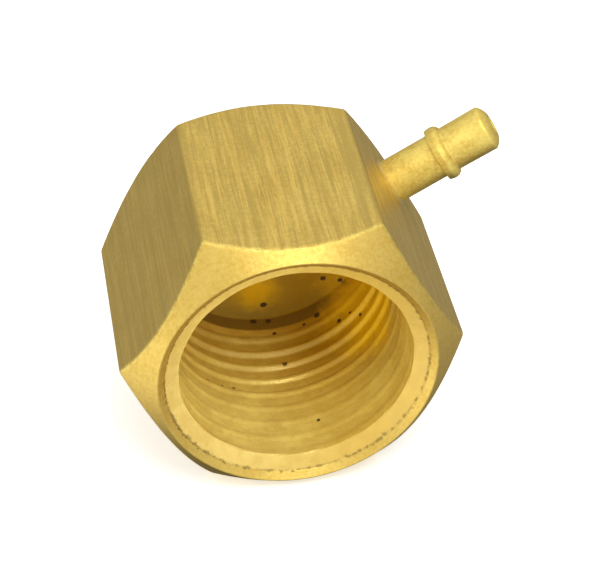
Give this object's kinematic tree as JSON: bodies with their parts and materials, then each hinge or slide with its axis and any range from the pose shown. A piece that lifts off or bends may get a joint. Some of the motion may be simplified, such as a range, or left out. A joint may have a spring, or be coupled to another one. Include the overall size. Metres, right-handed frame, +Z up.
{
  "type": "female threaded hex cap with hose nipple",
  "caption": "Hexagonal brass cap for a half-inch pipe thread, closed at the back, with a small beaded hose nipple standing square on one flat.",
  "frame": {"origin": "on the bore's axis where its round wall starts, just inside the countersink of the mouth", "axes": "+Y runs along the bore into the cap, so the mouth opens towards -Y; +Z is up, away from the flat that the cap lies on; +X is to the right, and the nipple leans 30 degrees above it"},
  "size_m": [0.0333, 0.0212, 0.0242],
  "materials": {
    "bar_brass": "satin drawn bar with turned ends",
    "turned_brass": "fine turned satin",
    "braze": "bright smooth filler"
  },
  "bodies": {
    "root": {"hex_body": "bar_brass", "hose_nipple": "turned_brass", "braze_ring": "braze"}
  },
  "joints": []
}
